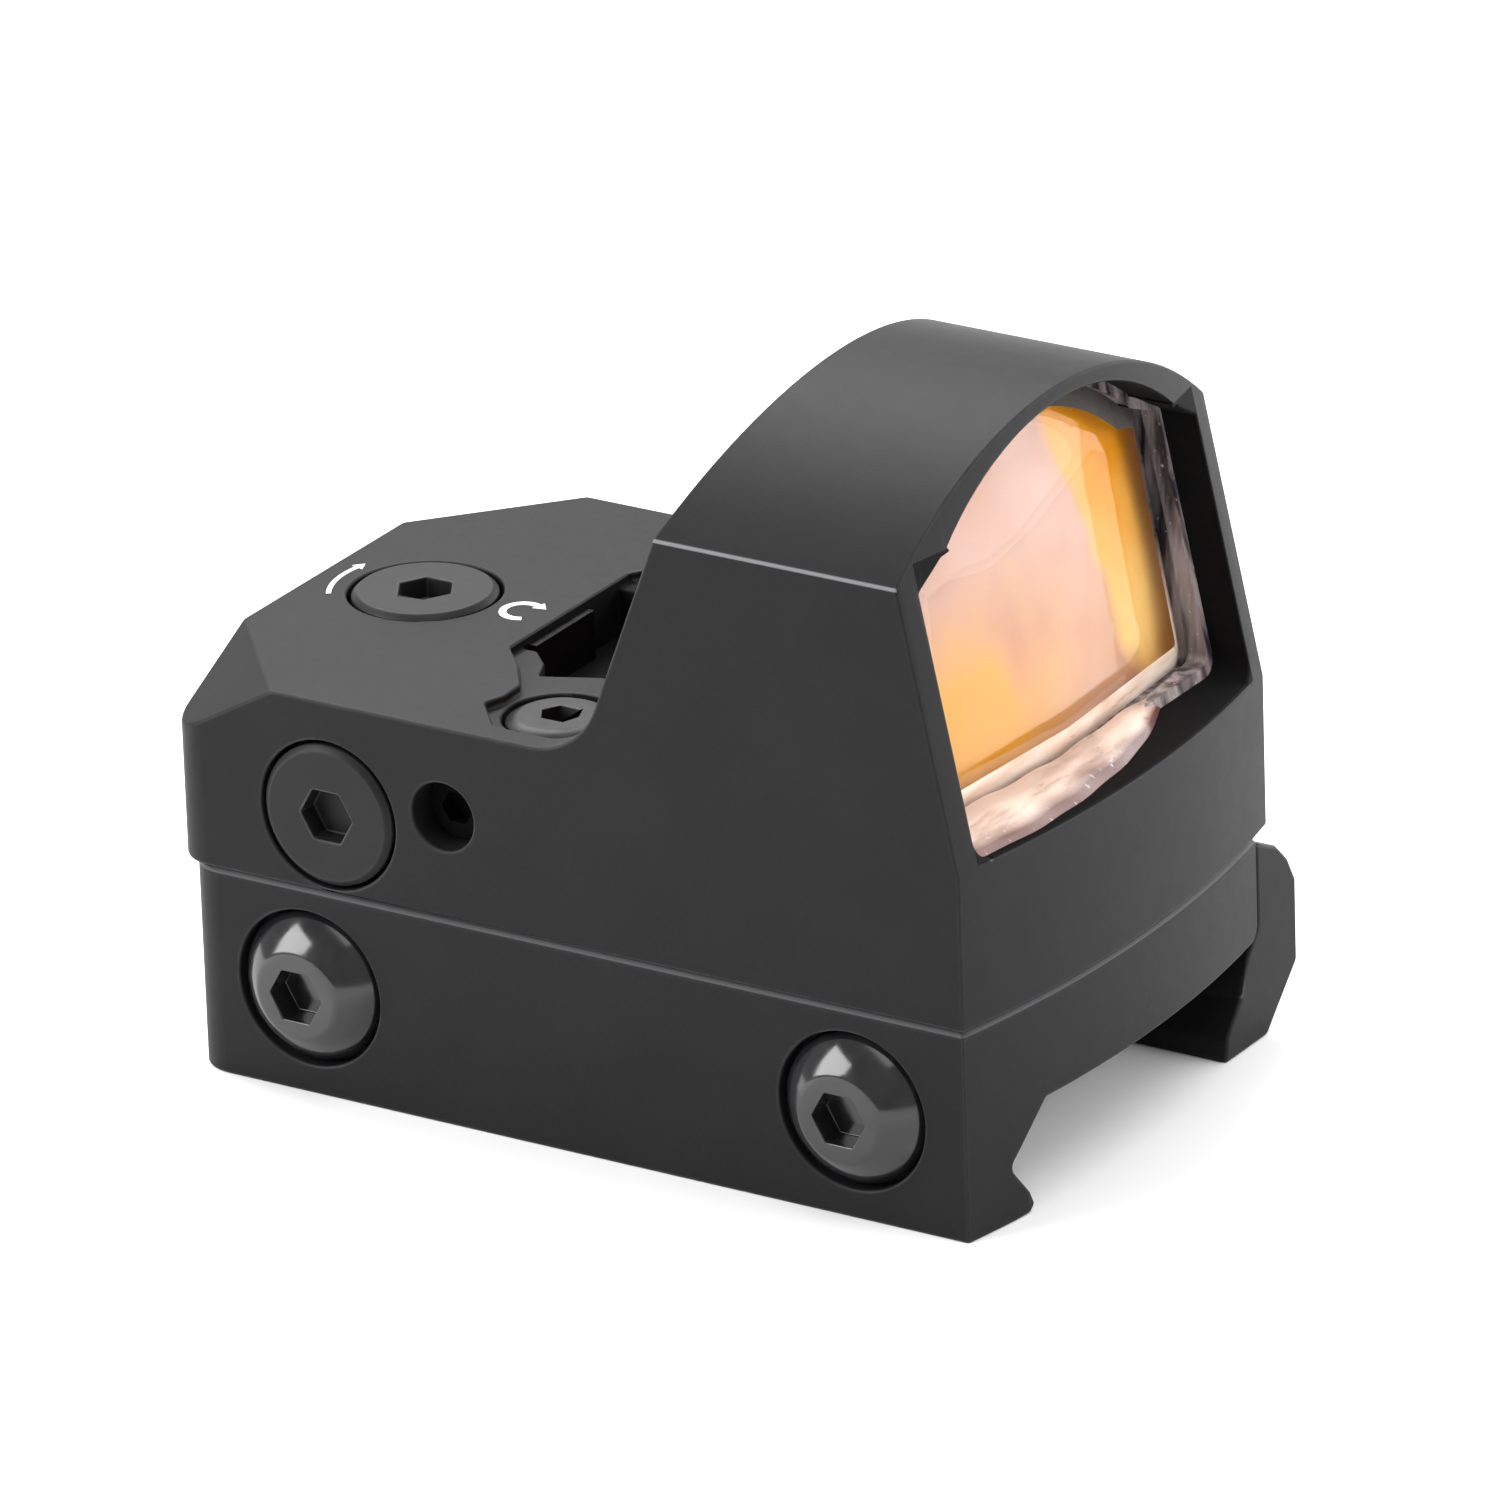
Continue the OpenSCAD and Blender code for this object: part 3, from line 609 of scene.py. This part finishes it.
def spring(name, node, base, axis, radius, wire, length, turns):
    """A coil of one wire, mm, from its fixed end at base."""
    side = axis.orthogonal().normalized()
    across = axis.cross(side)
    shape = bmesh.new()
    rings = []
    steps = TURN_STEPS * turns
    angles = [2 * math.pi * k / WIRE_SIDES for k in range(WIRE_SIDES)]
    for i in range(steps + 1):
        turn = 2 * math.pi * turns * i / steps
        out = side * math.cos(turn) + across * math.sin(turn)
        centre = base + out * radius + axis * (wire + (length - 2 * wire) * i / steps)
        section = [out * math.cos(angle) + axis * math.sin(angle) for angle in angles]
        rings.append([shape.verts.new((centre + offset * wire) * MM) for offset in section])
    for first, second in zip(rings, rings[1:]):
        bridge(shape, first, second)
    shape.faces.new(rings[0])
    shape.faces.new(rings[-1])
    coil = new_piece(name, shape, "sight", "plain_steel", looks["plain_steel"])
    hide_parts(node)
    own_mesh(coil)


spring("lift_spring_coil", "lift_spring", base=Vector((-16.8, 0, 5.2)),
       axis=Vector((0, 0, 1)), radius=2.35, wire=0.26, length=1.6, turns=2)
spring("windage_spring_coil", "windage_spring", base=Vector((-10.65, 5.2, 8.6)),
       axis=Vector((0, -1, 0)), radius=0.6, wire=0.15, length=2.6, turns=6)


# ---------------------------------------------------------------- floor, light, camera

# The floor is a square 3 m across, level with the sight's lowest point.
bpy.ops.mesh.primitive_plane_add(size=3, location=(0, 0, cad_bounds[0][2]))
floor = bpy.context.object
floor.name = "floor"
paper = Shader("paper")
cloud = paper.ramp(paper.noise(40.0), 0.3, 0.7, 0.0, 1.0)
paper.colour(paper.blend(cloud, (0.86, 0.86, 0.86), (0.9, 0.9, 0.9)))
paper.rough(paper.noise(3.0), 0.6, 0.7)
floor.data.materials.append(paper.material)

# The sky is white where the camera sees it and dimmer as a light.
world = bpy.data.worlds.new("studio")
bpy.context.scene.world = world
world.use_nodes = True
sky = world.node_tree
background = sky.nodes["Background"]
background.inputs["Color"].default_value = (1, 1, 1, 1)
seen = sky.nodes.new("ShaderNodeLightPath")
strength = sky.nodes.new("ShaderNodeMapRange")
strength.inputs["To Min"].default_value = 0.5
strength.inputs["To Max"].default_value = 1.0
sky.links.new(seen.outputs["Is Camera Ray"], strength.inputs["Value"])
sky.links.new(strength.outputs["Result"], background.inputs["Strength"])


LAMP_AIM = Vector((0, 0, 0.01))


def softbox(name, direction, distance, size, radiance, low=None):
    """A rectangular lamp that faces the sight, metres; its power follows from its radiance and size.

    It stands in a direction at a distance from the sight, and at the height low where that is given.
    """
    data = bpy.data.lights.new(name, "AREA")
    data.shape = "RECTANGLE"
    data.size = size[0]
    data.size_y = size[1]
    data.energy = radiance * math.pi * size[0] * size[1]
    lamp = bpy.data.objects.new(name, data)
    lamp.location = Vector(direction).normalized() * distance
    if low is not None:
        lamp.location.z = low
    aim = LAMP_AIM - lamp.location
    lamp.rotation_euler = aim.to_track_quat("-Z", "Y").to_euler()
    lamp.visible_camera = False
    bpy.context.collection.objects.link(lamp)


softbox("top_softbox", (-0.52, 0.45, 0.8), 0.6, (0.45, 0.35), 9.0)
softbox("overhead_softbox", (0.3, -0.1, 1.0), 0.7, (0.5, 0.5), 2.5)
softbox("right_card", (0.6, 0.78, 0.1), 0.24, (0.45, 0.2), 2.8, low=0.09)
softbox("front_card", (0.9, 0.15, 0.45), 0.5, (0.3, 0.25), 3.5)
softbox("left_softbox", (-0.62, -0.62, 0.48), 0.5, (0.34, 0.34), 9)
softbox("rear_card", (-0.73, 0.68, 0.08), 0.6, (0.5, 0.14), 2.0)

# The camera orbits a point near the middle of the sight and is then moved a little right and up, mm.
AZIMUTH = math.radians(32.820)
ELEVATION = math.radians(22.792)
ROLL = math.radians(-1.973)
DISTANCE = 709.195 * MM
TARGET = Vector((1.2, 0.23, 6.6)) * MM
PAN_RIGHT = -0.207
PAN_UP = 3.265
SENSOR_WIDTH = 36
FOCAL_LENGTH = 361.2

back = Vector((math.sin(AZIMUTH) * math.cos(ELEVATION), -math.cos(AZIMUTH) * math.cos(ELEVATION),
               math.sin(ELEVATION)))
level = Vector((math.cos(AZIMUTH), math.sin(AZIMUTH), 0))
upright = back.cross(level)
right = math.cos(ROLL) * level + math.sin(ROLL) * upright
up = math.cos(ROLL) * upright - math.sin(ROLL) * level
eye = TARGET + back * DISTANCE + right * PAN_RIGHT * MM + up * PAN_UP * MM

camera_data = bpy.data.cameras.new("camera")
camera_data.sensor_width = SENSOR_WIDTH
camera_data.lens = FOCAL_LENGTH
camera_data.clip_start = 0.05
camera_data.clip_end = 10
camera = bpy.data.objects.new("camera", camera_data)
camera.matrix_world = Matrix((
    (right.x, up.x, back.x, eye.x),
    (right.y, up.y, back.y, eye.y),
    (right.z, up.z, back.z, eye.z),
    (0, 0, 0, 1),
))
bpy.context.collection.objects.link(camera)
bpy.context.scene.camera = camera
